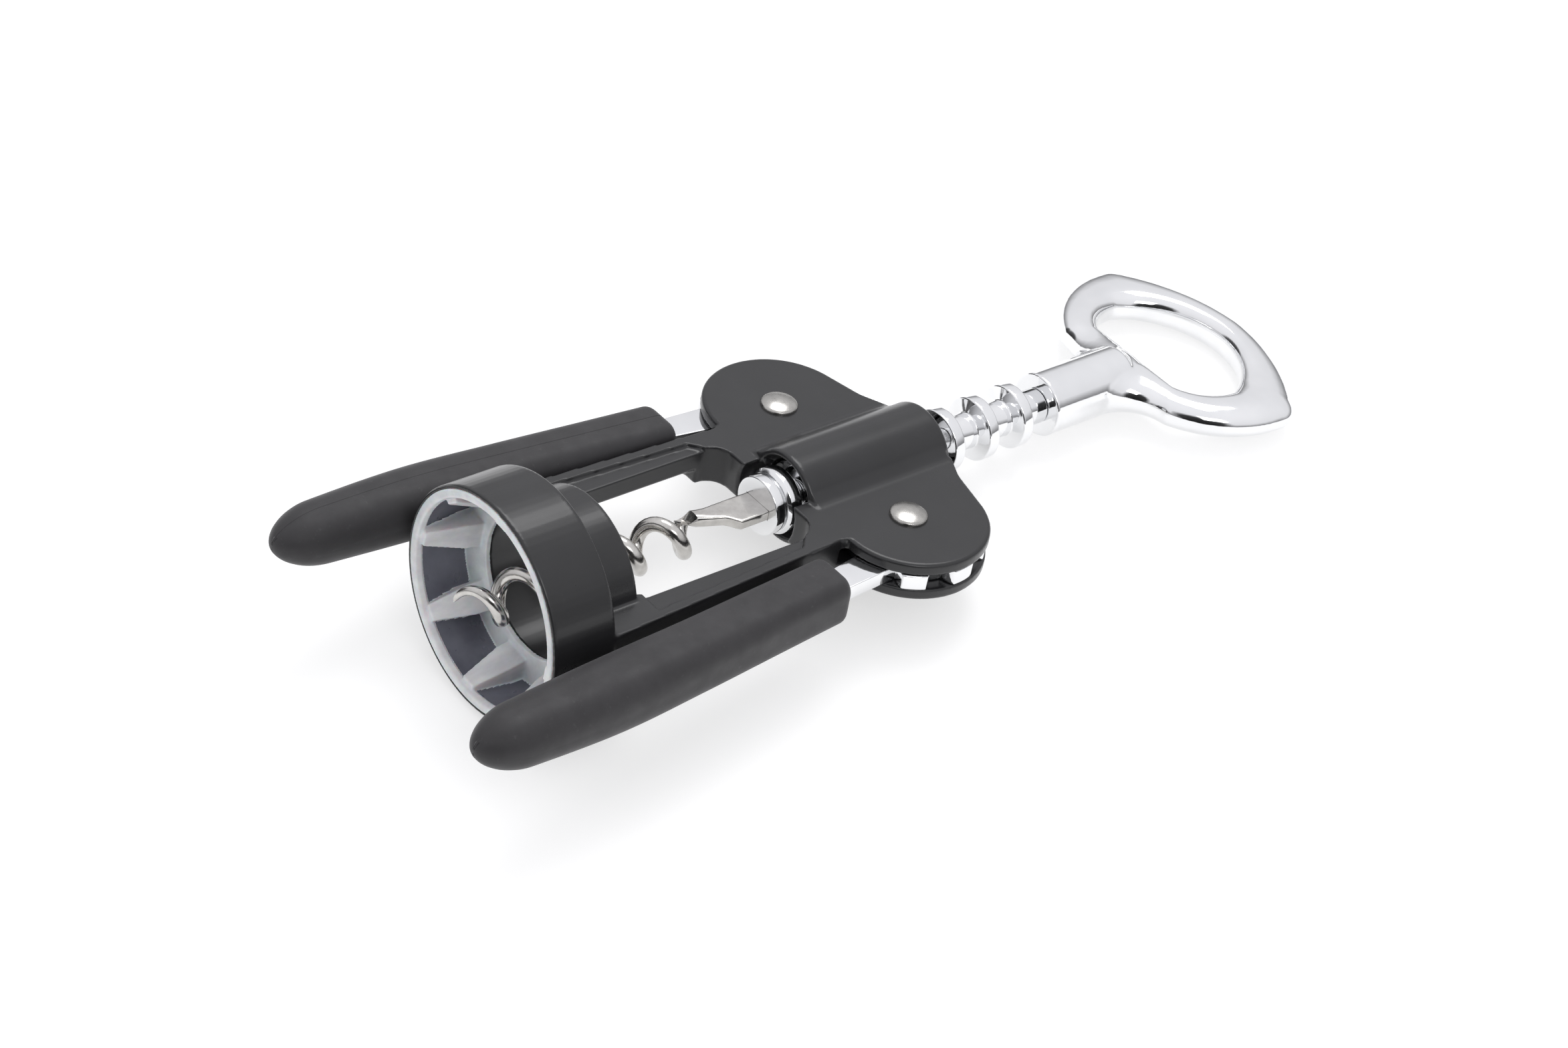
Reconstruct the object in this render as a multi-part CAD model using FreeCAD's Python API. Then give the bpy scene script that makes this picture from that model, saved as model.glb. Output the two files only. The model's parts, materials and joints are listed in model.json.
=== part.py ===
import FreeCAD, Part
import math
import os

Vec = FreeCAD.Vector

# Lever corkscrew.  It is modelled with its axis along +Y, from the bell's mouth at Y = 0 to the
# bottle opener, and with the wings in the XY plane.  At the end every piece gets one and the same
# placement, which lays the tool on its bell and its opener with the floor at Z = 0.
# All sizes are in millimetres.

# ---- bell and its liner ----
BELL_R = 21.5            # outer radius of the bell
BELL_LENGTH = 12.8       # mouth to the shoulder behind it
BELL_BORE_R = 20.8       # the liner sits in this bore
SHOULDER_T = 1.2         # thickness of the shoulder wall
NECK_R = 15.6            # outer radius of the short neck behind the shoulder
NECK_BORE_R = 13.4
NECK_END_Y = 21.9
LINER_RIM_R = 18.9       # inner radius of the liner at its mouth
LINER_WALL_T = 1.4
LINER_FLOOR_T = 0.9
LINER_HOLE_R = 13.2
RIB_COUNT = 8            # centring ribs inside the liner
RIB_FIRST_DEG = -5.0
# y, inner radius and width of a rib at the mouth, at its shoulder and at the floor
RIB_STATIONS = [(0.8, 18.0, 3.0), (8.0, 15.4, 5.4), (10.8, 14.6, 5.4)]

# ---- arms, wings and barrel ----
HALF_T = 3.9             # half thickness of arms and wings
ARM_OUTER_BELL_X = 21.3  # outer edge of an arm at the bell and at the wing
ARM_OUTER_WING_X = 18.5
ARM_END_Y = 64.2
ARM_INNER_X = 14.4       # inner edge of an arm, which is half the window's width
RIDGE_W = 2.0            # raised edge along the outside of an arm
LEDGE_DROP = 0.8         # the arm's top inside that ridge lies this much lower
UNDERCUT_X = 18.0        # the arm's lower inner corner is bevelled out to here
UNDERCUT_Z = -0.5
WINDOW_END_Y = 62.2
WINDOW_BELL_CORNER_R = 3.0
WINDOW_WING_CORNER_R = 4.0
WING_CENTRE = (19.0, 79.9)
WING_R = 14.4
WING_SHOULDER = ((22.1, 93.95), (12.9, 96.1), (9.0, 98.0))
BARREL_R = 9.0
BARREL_START_Y = 65.8
BARREL_END_Y = 98.5
BORE_R = 6.6             # bore of the barrel
MOUTH_R = 8.0            # the bore opens out to this at the window
MOUTH_DEPTH = 2.6

# ---- lever pivots and gears ----
PIVOT_X = 18.64
PIVOT_Y = 79.5
GEAR_T = 3.0             # thickness of the lever plate
SLOT_HALF_T = 1.6        # half width of the slot between the wing plates
SLOT_R = 15.2
RAISED_SHANK_X = 16.4    # the slot's upper side is open from here out, for the raised lever
TEETH_PER_TURN = 9       # the toothed sector is part of a 9-tooth wheel
RACK_PITCH = 8.5
PRESSURE_DEG = 14.5
GEAR_TIP_R = 14.6
GEAR_ROOT_R = 12.1
BACKLASH = 0.35
TEETH_ON_LEVER = 7
RIVET_R = 2.4
RIVET_CLEARANCE = 0.05
RIVET_HEAD_R = 3.5
RIVET_HEAD_T = 1.3

# ---- rack, spindle and opener ----
RING_R = 6.18
RING_RIM_T = 2.3         # width of a ring's rim
RING_CORE_R = 3.4
RING_COUNT = 7
FIRST_RING_Y = 69.56     # middle of the ring nearest the bell
RACK_START_Y = 66.4
ROD_R = 2.2
ROD_CLEARANCE = 0.05
BOSS_START_Y = 127.9
BOSS_END_Y = 148.0
SOCKET_START_Y = 60.3
SOCKET_FACE_R = 5.6
SOCKET_FACE_T = 2.0
SOCKET_NECK_R = 4.7
SOCKET_RING_Y = 62.9
SOCKET_END_Y = 66.2
OPENER_HALF_T = 3.4
OPENER_END_Y = 182.3
OPENER_HALF_W = 27.2     # at OPENER_WIDEST_Y
OPENER_WIDEST_Y = 168.0
OPENER_SIDE_R = 22.1     # radius of the outline from the boss out to the widest point
OPENER_ROOT = (7.2, 144.0)
HOLE_LIP_Y = 153.5       # the straight lip that catches a bottle cap
HOLE_LIP_HALF_W = 9.5
HOLE_HALF_W = 15.6
HOLE_WIDEST_Y = 163.5
HOLE_END_Y = 174.5

# ---- worm ----
WORM_RADIUS = 3.3        # radius of the helix that the wire's middle follows
WIRE_R = 1.25
WORM_PITCH = 9.8
WORM_TOP_Y = 46.1        # where the helix starts, on the left of the axis
WORM_TIP_Y = -3.0
WORM_TAPER_TURNS = 0.5   # the point is ground over this much of the last turn
FLAT_HALF_W = 3.3
FLAT_HALF_T = 1.05
FLAT_END_Y = 56.0
# y, left and right edge of the neck that leads from the flat shank to the helix
WORM_NECK = [(56.1, -3.3, 3.3), (55.2, -3.3, 1.9), (51.0, -3.5, -0.6), (45.7, -4.4, -2.2)]

# ---- grips ----
# middle x, y, half width and half thickness along the grip, wing end first
GRIP_STATIONS = [(25.1, 58.0, 5.1, 4.8), (26.5, 42.0, 5.4, 5.1), (28.1, 24.0, 5.8, 5.4),
                 (29.4, 6.0, 6.2, 5.7), (30.1, -12.0, 6.0, 5.5), (30.2, -22.2, 5.6, 5.2)]
GRIP_STEP = 2.6          # distance between the sections that the grip is built from
GRIP_EDGE_R = 1.4        # rounding of the grip's end at the wing
GRIP_TIP_LENGTH = 9.0    # length over which the tip rounds off
GRIP_ROUNDNESS = 0.98    # corner radius over half thickness at the tip
GRIP_SQUARENESS = 0.55   # how much smaller that share is at the wing end
TANG = [(20.9, 71.5), (20.9, 66.0), (22.2, 58.0), (25.6, 26.0), (30.0, 26.0), (27.7, 58.0),
        (26.9, 69.0), (26.9, 71.5)]


def lathe(points):
    """A solid of revolution about Y from (y, radius) points."""
    wire = Part.makePolygon([Vec(r, y, 0) for y, r in points + points[:1]])
    return Part.Face(wire).revolve(Vec(0, 0, 0), Vec(0, 1, 0), 360)


def rod(radius, start_y, end_y):
    return Part.makeCylinder(radius, end_y - start_y, Vec(0, start_y, 0), Vec(0, 1, 0))


def post(x, y, radius, low_z, high_z):
    return Part.makeCylinder(radius, high_z - low_z, Vec(x, y, low_z), Vec(0, 0, 1))


def prism(points, low_z, high_z):
    """A straight prism over a closed outline of (x, y) points."""
    wire = Part.makePolygon([Vec(x, y, low_z) for x, y in points + points[:1]])
    return Part.Face(wire).extrude(Vec(0, 0, high_z - low_z))


def mirrored(shape):
    return shape.mirror(Vec(0, 0, 0), Vec(1, 0, 0))


def both_sides(shape):
    return shape.fuse(mirrored(shape))


def rounded(shape, radius, wanted):
    """Fillet every edge that wanted(edge) picks."""
    return shape.makeFillet(radius, [e for e in shape.Edges if wanted(e)])


def ring_edge(edge, y, radius):
    """True for a full circle of this radius about the Y axis at this y."""
    if not isinstance(edge.Curve, Part.Circle):
        return False
    centre = edge.Curve.Center
    on_axis = math.hypot(centre.x, centre.z) < 0.01
    return on_axis and abs(centre.y - y) < 0.01 and abs(edge.Curve.Radius - radius) < 0.01


def arm_outer_x(y):
    along = (y - BELL_LENGTH) / (ARM_END_Y - BELL_LENGTH)
    return ARM_OUTER_BELL_X + along * (ARM_OUTER_WING_X - ARM_OUTER_BELL_X)


def make_bell():
    shoulder_y = BELL_LENGTH - SHOULDER_T
    bell = lathe([(0, BELL_BORE_R), (0, BELL_R), (BELL_LENGTH, BELL_R), (BELL_LENGTH, NECK_R),
                  (NECK_END_Y, NECK_R), (NECK_END_Y, NECK_BORE_R), (shoulder_y, NECK_BORE_R),
                  (shoulder_y, BELL_BORE_R)])
    bell = rounded(bell, 0.6, lambda e: ring_edge(e, 0, BELL_R) or ring_edge(e, BELL_LENGTH, BELL_R))
    return rounded(bell, 0.5, lambda e: ring_edge(e, NECK_END_Y, NECK_R))


def make_window():
    """The opening between the arms, with rounded corners."""
    window = prism([(-ARM_INNER_X, NECK_END_Y), (ARM_INNER_X, NECK_END_Y),
                    (ARM_INNER_X, WINDOW_END_Y), (-ARM_INNER_X, WINDOW_END_Y)], -9, 9)

    def upright(edge, y):
        middle = edge.CenterOfMass
        return abs(edge.Length - 18) < 0.01 and abs(middle.y - y) < 0.01

    window = rounded(window, WINDOW_BELL_CORNER_R, lambda e: upright(e, NECK_END_Y))
    return rounded(window, WINDOW_WING_CORNER_R, lambda e: upright(e, WINDOW_END_Y))


def make_arm_cuts():
    """What is cut from the slab to shape one arm: the lower ledge and the bevel underneath."""
    start_y = NECK_END_Y + 1.5
    end_y = WINDOW_END_Y - 2.5
    ledge = prism([(ARM_INNER_X - 1, start_y), (arm_outer_x(start_y) - RIDGE_W, start_y),
                   (arm_outer_x(end_y - 3) - RIDGE_W, end_y - 3),
                   (arm_outer_x(end_y) - RIDGE_W - 3, end_y), (ARM_INNER_X - 1, end_y)],
                  HALF_T - LEDGE_DROP, HALF_T + 1)
    inside_x = ARM_INNER_X - 1.0
    slope = (UNDERCUT_Z + HALF_T) / (UNDERCUT_X - ARM_INNER_X)
    corners = [(inside_x, UNDERCUT_Z + slope), (UNDERCUT_X + 1 / slope, -HALF_T - 1),
               (inside_x, -HALF_T - 1)]
    wire = Part.makePolygon([Vec(x, start_y, z) for x, z in corners + corners[:1]])
    bevel = Part.Face(wire).extrude(Vec(0, end_y - 2 - start_y, 0))
    return ledge.fuse(bevel)


def make_wings():
    """Arms and wings as one slab, before the barrel is added."""
    arm = prism([(0, BELL_LENGTH - 0.2), (ARM_OUTER_BELL_X, BELL_LENGTH - 0.2),
                 (ARM_OUTER_WING_X, ARM_END_Y), (0, ARM_END_Y)], -HALF_T, HALF_T)
    core = prism([(0, ARM_END_Y - 3), (ARM_OUTER_WING_X, ARM_END_Y - 0.1),
                  (WING_CENTRE[0], WING_CENTRE[1] - WING_R + 0.05)] + list(WING_SHOULDER)
                 + [(0, WING_SHOULDER[2][1])], -HALF_T, HALF_T)
    lobe = post(WING_CENTRE[0], WING_CENTRE[1], WING_R, -HALF_T, HALF_T)
    half = arm.fuse([core, lobe]).removeSplitter()
    return both_sides(half).removeSplitter()


def make_frame():
    """The die-cast body: bell, two arms, the barrel and the upper and lower wing plates."""
    slab = make_wings()

    def outer_rim(edge):
        middle = edge.CenterOfMass
        if abs(abs(middle.z) - HALF_T) > 0.01 or abs(middle.x) < 12:
            return False
        return middle.y > ARM_END_Y + 1

    slab = rounded(slab, 0.7, outer_rim)
    barrel = rounded(rod(BARREL_R, BARREL_START_Y, BARREL_END_Y), 0.8,
                     lambda e: ring_edge(e, BARREL_END_Y, BARREL_R)
                     or ring_edge(e, BARREL_START_Y, BARREL_R))
    slab = slab.cut(rod(NECK_BORE_R, 0, NECK_END_Y + 1)).cut(make_window())
    slab = slab.cut(both_sides(make_arm_cuts()))
    body = slab.fuse([barrel, make_bell()])
    throat = lathe([(NECK_END_Y + 30, 0), (NECK_END_Y + 30, MOUTH_R), (BARREL_START_Y, MOUTH_R),
                    (BARREL_START_Y + MOUTH_DEPTH, BORE_R), (BARREL_END_Y + 1, BORE_R),
                    (BARREL_END_Y + 1, 0)])
    pocket = post(PIVOT_X, PIVOT_Y, SLOT_R, -SLOT_HALF_T, SLOT_HALF_T)
    raised_way = prism([(RAISED_SHANK_X, PIVOT_Y), (PIVOT_X + SLOT_R, PIVOT_Y),
                        (PIVOT_X + SLOT_R, BARREL_END_Y), (RAISED_SHANK_X, BARREL_END_Y)],
                       -SLOT_HALF_T, SLOT_HALF_T)
    pocket = pocket.fuse(raised_way)
    rivet_hole = post(PIVOT_X, PIVOT_Y, RIVET_R, -10, 10)
    body = body.cut(throat).cut(both_sides(pocket)).cut(both_sides(rivet_hole))
    return body.removeSplitter()


def make_rib(angle_deg):
    """A faceted rib: narrow at the mouth, widest at its shoulder and narrower again at the floor."""
    wall_r = BELL_BORE_R - 0.5

    def section(y, inner_r, width):
        half = width / 2
        corners = [(inner_r, -half), (wall_r, -half), (wall_r, half), (inner_r, half)]
        return Part.makePolygon([Vec(r, y, z) for r, z in corners + corners[:1]])

    rib = Part.makeLoft([section(*station) for station in RIB_STATIONS], True, True)
    rib.rotate(Vec(0, 0, 0), Vec(0, 1, 0), -angle_deg)
    return rib


def make_liner():
    """Translucent plastic cup that centres the bottle's neck in the bell."""
    back_y = BELL_LENGTH - SHOULDER_T
    floor_y = back_y - LINER_FLOOR_T
    wall_r = BELL_BORE_R - LINER_WALL_T
    cup = lathe([(0.2, LINER_RIM_R + 0.2), (0, LINER_RIM_R + 0.5), (0, BELL_BORE_R - 0.2),
                 (0.2, BELL_BORE_R), (back_y, BELL_BORE_R), (back_y, LINER_HOLE_R),
                 (floor_y, LINER_HOLE_R), (floor_y, wall_r), (1.6, wall_r), (1.2, LINER_RIM_R)])
    step = 360.0 / RIB_COUNT
    ribs = [make_rib(RIB_FIRST_DEG + i * step) for i in range(RIB_COUNT)]
    return cup.fuse(ribs).removeSplitter()


def make_rack():
    """Sleeve with round rings: teeth all the way round, so it can turn in the gears' mesh."""
    flank = (RING_R - RING_CORE_R) * math.tan(math.radians(PRESSURE_DEG))
    points = [(RACK_START_Y, ROD_R + ROD_CLEARANCE), (RACK_START_Y, RING_CORE_R)]
    for i in range(RING_COUNT):
        middle = FIRST_RING_Y + i * RACK_PITCH
        half = RING_RIM_T / 2
        points += [(middle - half - flank, RING_CORE_R), (middle - half, RING_R - 0.15),
                   (middle - half + 0.15, RING_R), (middle + half - 0.15, RING_R),
                   (middle + half, RING_R - 0.15), (middle + half + flank, RING_CORE_R)]
    end_y = BOSS_START_Y - 0.1
    points += [(end_y, RING_CORE_R), (end_y, ROD_R + ROD_CLEARANCE)]
    return lathe(points)


def make_opener_plate():
    """The flat ring of the bottle opener with its straight lip."""
    root_x, root_y = OPENER_ROOT
    side_x = OPENER_HALF_W - OPENER_SIDE_R
    end = Vec(0, OPENER_END_Y, 0)

    def half_outline(side):
        def at(x, y):
            return Vec(side * x, y, 0)

        def on_side(angle_deg):
            angle = math.radians(angle_deg)
            return at(side_x + OPENER_SIDE_R * math.cos(angle),
                      OPENER_WIDEST_Y + OPENER_SIDE_R * math.sin(angle))
        root = at(root_x, root_y)
        turn = at(OPENER_HALF_W - 1.9, OPENER_WIDEST_Y + 4.2)
        return [Part.Arc(root, at(9.2, 146.1), on_side(-70)).toShape(),
                Part.Arc(on_side(-70), on_side(-35), on_side(0)).toShape(),
                Part.Arc(on_side(0), at(OPENER_HALF_W - 0.25, OPENER_WIDEST_Y + 2.2), turn).toShape(),
                Part.Arc(turn, at(14.4, 179.0), end).toShape()]

    closing = Part.LineSegment(Vec(-root_x, root_y, 0), Vec(root_x, root_y, 0)).toShape()
    outer = Part.Wire(Part.__sortEdges__(half_outline(1) + half_outline(-1) + [closing]))

    lip_left = Vec(-HOLE_LIP_HALF_W, HOLE_LIP_Y, 0)
    lip_right = Vec(HOLE_LIP_HALF_W, HOLE_LIP_Y, 0)
    side_r = Vec(HOLE_HALF_W, HOLE_WIDEST_Y, 0)
    side_l = Vec(-HOLE_HALF_W, HOLE_WIDEST_Y, 0)
    inner = Part.Wire(Part.__sortEdges__([
        Part.LineSegment(lip_left, lip_right).toShape(),
        Part.Arc(lip_right, Vec(13.9, 157.0, 0), side_r).toShape(),
        Part.Arc(side_r, Vec(0, HOLE_END_Y, 0), side_l).toShape(),
        Part.Arc(side_l, Vec(-13.9, 157.0, 0), lip_left).toShape()]))

    def layer(z, inset):
        """The outline at height z, drawn in towards the middle of the eye by the inset."""
        move = FreeCAD.Matrix()
        move.A11 = 1 - inset / OPENER_HALF_W
        move.A22 = 1 - inset / (OPENER_END_Y - HOLE_WIDEST_Y)
        move.A24 = HOLE_WIDEST_Y * (1 - move.A22)
        move.A34 = z
        return outer.transformGeometry(move)

    layers = [(-1.0, 1.6), (-0.82, 0.7), (-0.5, 0.12), (0, 0), (0.5, 0.12), (0.82, 0.7), (1.0, 1.6)]
    plate = Part.makeLoft([layer(OPENER_HALF_T * z, inset) for z, inset in layers], True, True)
    hole = Part.Face(inner).extrude(Vec(0, 0, 2 * OPENER_HALF_T + 2))
    hole.translate(Vec(0, 0, -OPENER_HALF_T - 1))
    return plate.cut(hole)


def make_opener():
    """Handle: bottle opener, boss, and the rod that carries the rack sleeve and the worm."""
    boss = lathe([(BOSS_START_Y, 0), (BOSS_START_Y, RING_R - 0.2), (BOSS_START_Y + 0.2, RING_R),
                  (BOSS_END_Y, RING_R), (BOSS_END_Y + 4.5, 3.0), (BOSS_END_Y + 4.5, 0)])
    centre_rod = rod(ROD_R, SOCKET_END_Y, BOSS_START_Y + 1)
    return boss.fuse([centre_rod, make_opener_plate()]).removeSplitter()


def flat_bar(low_y, high_y, extra=0.0):
    half_w = FLAT_HALF_W + extra
    half_t = FLAT_HALF_T + extra
    return prism([(-half_w, low_y), (half_w, low_y), (half_w, high_y), (-half_w, high_y)],
                 -half_t, half_t)


def make_socket():
    """Slotted end of the spindle that holds the worm's flat shank."""
    body = lathe([(SOCKET_START_Y, 0), (SOCKET_START_Y, SOCKET_FACE_R - 0.15),
                  (SOCKET_START_Y + 0.15, SOCKET_FACE_R),
                  (SOCKET_START_Y + SOCKET_FACE_T, SOCKET_FACE_R),
                  (SOCKET_START_Y + SOCKET_FACE_T, SOCKET_NECK_R), (SOCKET_RING_Y, SOCKET_NECK_R),
                  (SOCKET_RING_Y, RING_R - 0.6), (SOCKET_RING_Y + 0.6, RING_R),
                  (SOCKET_END_Y - 0.5, RING_R), (SOCKET_END_Y, RING_R - 0.5),
                  (SOCKET_END_Y, 0)])
    return body.cut(flat_bar(SOCKET_START_Y - 1, SOCKET_END_Y - 1.5))


def make_worm():
    """Open steel helix with a ground point, and the flat shank that one side of it grows out of."""
    turns = (WORM_TOP_Y - WORM_TIP_Y) / WORM_PITCH
    steps_per_turn = 10

    def wire_middle(turn):
        angle = math.pi + 2 * math.pi * turn
        return Vec(WORM_RADIUS * math.cos(angle), WORM_TOP_Y - WORM_PITCH * turn,
                   WORM_RADIUS * math.sin(angle))

    def wire_direction(turn):
        angle = math.pi + 2 * math.pi * turn
        swing = 2 * math.pi * WORM_RADIUS
        return Vec(-swing * math.sin(angle), -WORM_PITCH, swing * math.cos(angle))

    def section(turn):
        left = turns - turn
        radius = WIRE_R * min(1.0, 0.18 + 0.82 * left / WORM_TAPER_TURNS)
        return Part.Wire(Part.Circle(wire_middle(turn), wire_direction(turn), radius).toShape())

    def across(y, left_x, right_x):
        corners = [(left_x, -FLAT_HALF_T), (right_x, -FLAT_HALF_T),
                   (right_x, FLAT_HALF_T), (left_x, FLAT_HALF_T)]
        return Part.makePolygon([Vec(x, y, z) for x, z in corners + corners[:1]])

    count = int(turns * steps_per_turn)
    helix = Part.makeLoft([section(turns * i / count) for i in range(count, -1, -1)], True, False)
    shank = flat_bar(FLAT_END_Y, SOCKET_END_Y - 1.5)
    neck = Part.makeLoft([across(*station) for station in WORM_NECK], True, True)
    return shank.fuse([neck, helix]).removeSplitter()


def involute(angle):
    return math.tan(angle) - angle


def make_gear():
    """Toothed disc of a lever about its pivot, at the origin, with the mesh point towards -X."""
    pitch_r = TEETH_PER_TURN * RACK_PITCH / (2 * math.pi)
    pressure = math.radians(PRESSURE_DEG)
    base_r = pitch_r * math.cos(pressure)
    rack_line_r = PIVOT_X - pitch_r
    ring_t = RING_RIM_T + 2 * (RING_R - rack_line_r) * math.tan(pressure)
    tooth_t = RACK_PITCH - ring_t - BACKLASH

    def half_angle(radius):
        at_radius = math.acos(base_r / radius)
        return tooth_t / (2 * pitch_r) + involute(pressure) - involute(at_radius)

    def tooth(centre):
        def at(radius, offset):
            return Vec(radius * math.cos(centre + offset), radius * math.sin(centre + offset), 0)
        radii = [GEAR_ROOT_R + (GEAR_TIP_R - GEAR_ROOT_R) * i / 5 for i in range(6)]
        right = Part.BSplineCurve()
        right.interpolate([at(r, -half_angle(r)) for r in radii])
        left = Part.BSplineCurve()
        left.interpolate([at(r, half_angle(r)) for r in radii])
        tip = Part.Arc(at(GEAR_TIP_R, -half_angle(GEAR_TIP_R)), at(GEAR_TIP_R, 0),
                       at(GEAR_TIP_R, half_angle(GEAR_TIP_R)))
        inside = GEAR_ROOT_R - 1.5
        root = half_angle(GEAR_ROOT_R)
        foot = [Part.LineSegment(at(GEAR_ROOT_R, root), at(inside, root)).toShape(),
                Part.LineSegment(at(inside, root), at(inside, -root)).toShape(),
                Part.LineSegment(at(inside, -root), at(GEAR_ROOT_R, -root)).toShape()]
        edges = [right.toShape(), tip.toShape(), left.toShape()] + foot
        face = Part.Face(Part.Wire(Part.__sortEdges__(edges)))
        face.translate(Vec(0, 0, -GEAR_T / 2))
        return face.extrude(Vec(0, 0, GEAR_T))

    # A ring of the rack stands just below the pivot's level, and a tooth gap faces it.
    nearest = round((PIVOT_Y - FIRST_RING_Y) / RACK_PITCH)
    ring_below = PIVOT_Y - (FIRST_RING_Y + nearest * RACK_PITCH)
    gap = math.pi + ring_below / pitch_r
    step = 2 * math.pi / TEETH_PER_TURN
    teeth = [tooth(gap + step / 2 - i * step) for i in range(TEETH_ON_LEVER)]
    disc = post(0, 0, GEAR_ROOT_R, -GEAR_T / 2, GEAR_T / 2)
    return disc.fuse(teeth).removeSplitter()


def make_lever():
    """Right lever: toothed disc, shank and the tang that the grip is moulded over."""
    gear = make_gear()
    gear.translate(Vec(PIVOT_X, PIVOT_Y, 0))
    tang = prism(TANG, -GEAR_T / 2, GEAR_T / 2)
    hole = post(PIVOT_X, PIVOT_Y, RIVET_R + RIVET_CLEARANCE, -GEAR_T, GEAR_T)
    return gear.fuse(tang).cut(hole).removeSplitter()


def grip_at(y):
    """Middle x, half width and half thickness at y, by smooth interpolation of the stations."""
    last = len(GRIP_STATIONS) - 1
    i = 0
    while i < last - 1 and y < GRIP_STATIONS[i + 1][1]:
        i += 1
    before, start = GRIP_STATIONS[max(i - 1, 0)], GRIP_STATIONS[i]
    end, after = GRIP_STATIONS[i + 1], GRIP_STATIONS[min(i + 2, last)]
    span = end[1] - start[1]
    t = (y - start[1]) / span
    result = []
    for k in (0, 2, 3):
        slope_in = (end[k] - before[k]) / (end[1] - before[1]) * span
        slope_out = (after[k] - start[k]) / (after[1] - start[1]) * span
        result.append((2 * t ** 3 - 3 * t ** 2 + 1) * start[k] + (t ** 3 - 2 * t ** 2 + t) * slope_in
                      + (3 * t ** 2 - 2 * t ** 3) * end[k] + (t ** 3 - t ** 2) * slope_out)
    return result


def grip_section(y):
    """Rounded rectangle across the grip, drawn in where the grip's two ends round off."""
    top_y = GRIP_STATIONS[0][1]
    tip_y = GRIP_STATIONS[-1][1]
    middle_x, half_w, half_t = grip_at(y)
    into_edge = max(0.0, y - (top_y - GRIP_EDGE_R))
    inset = GRIP_EDGE_R - math.sqrt(GRIP_EDGE_R ** 2 - into_edge ** 2)
    into_tip = max(0.0, tip_y + GRIP_TIP_LENGTH - y) / GRIP_TIP_LENGTH
    shrink = math.sqrt(1 - into_tip ** 2)
    half_w = (half_w - inset) * shrink
    half_t = (half_t - inset) * shrink
    square = GRIP_SQUARENESS * (y - tip_y) / (top_y - tip_y)
    corner_r = half_t * (GRIP_ROUNDNESS - square)
    inner_x = half_w - corner_r
    inner_z = half_t - corner_r
    diagonal = corner_r * math.sqrt(0.5)
    edges = []
    for sx, sz in ((1, 1), (-1, 1), (-1, -1), (1, -1)):
        side = Vec(middle_x + sx * half_w, y, sz * inner_z)
        bend = Vec(middle_x + sx * (inner_x + diagonal), y, sz * (inner_z + diagonal))
        top = Vec(middle_x + sx * inner_x, y, sz * half_t)
        pair = (side, top) if sx * sz > 0 else (top, side)
        edges.append((Part.Arc(pair[0], bend, pair[1]).toShape(), pair))
    outline = []
    for i in range(4):
        outline.append(edges[i][0])
        outline.append(Part.LineSegment(edges[i][1][1], edges[(i + 1) % 4][1][0]).toShape())
    return Part.Wire(outline)


def make_grip(lever):
    """Soft grip moulded over the lever's tang."""
    top_y = GRIP_STATIONS[0][1]
    tip_y = GRIP_STATIONS[-1][1]
    body_end_y = tip_y + GRIP_TIP_LENGTH
    length = top_y - GRIP_EDGE_R - body_end_y
    steps = round(length / GRIP_STEP)
    stations = [top_y - GRIP_EDGE_R * share for share in (0.02, 0.15, 0.45)]
    stations += [top_y - GRIP_EDGE_R - length * i / steps for i in range(steps + 1)]
    stations += [body_end_y - GRIP_TIP_LENGTH * math.sin(math.radians(angle))
                 for angle in (15, 30, 45, 58, 70, 79, 85)]
    body = Part.makeLoft([grip_section(y) for y in stations], True, True)
    return body.cut(lever)


def make_rivet():
    """Pivot rivet with a low domed head on both sides."""
    shank = post(PIVOT_X, PIVOT_Y, RIVET_R, -HALF_T, HALF_T)
    sphere_r = (RIVET_HEAD_R ** 2 + (RIVET_HEAD_T - 0.5) ** 2) / (2 * (RIVET_HEAD_T - 0.5))
    top_z = HALF_T + RIVET_HEAD_T
    ball = Part.makeSphere(sphere_r, Vec(PIVOT_X, PIVOT_Y, top_z - sphere_r))
    head = post(PIVOT_X, PIVOT_Y, RIVET_HEAD_R, HALF_T, top_z).common(ball)
    tail = head.mirror(Vec(0, 0, 0), Vec(0, 0, 1))
    return shank.fuse([head, tail]).removeSplitter()


def make_parts():
    lever = make_lever()
    grip = make_grip(lever)
    rivet = make_rivet()
    return {
        "frame_casting": make_frame(),
        "bell_liner": make_liner(),
        "rack_sleeve": make_rack(),
        "opener_handle": make_opener(),
        "worm_socket": make_socket(),
        "worm": make_worm(),
        "lever_right": lever,
        "lever_left": mirrored(lever),
        "grip_right": grip,
        "grip_left": mirrored(grip),
        "rivet_right": rivet,
        "rivet_left": mirrored(rivet),
    }


def resting_tilt_deg(parts):
    """Angle about X that brings the opener's underside down to the level of the bell's."""
    low, high = 0.0, 15.0
    for _ in range(40):
        tilt = (low + high) / 2
        lows = []
        for node in ("frame_casting", "opener_handle"):
            turned = parts[node].copy()
            turned.rotate(Vec(0, 0, 0), Vec(1, 0, 0), -tilt)
            lows.append(turned.optimalBoundingBox().ZMin)
        if lows[1] > lows[0]:
            low = tilt
        else:
            high = tilt
    return tilt


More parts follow.
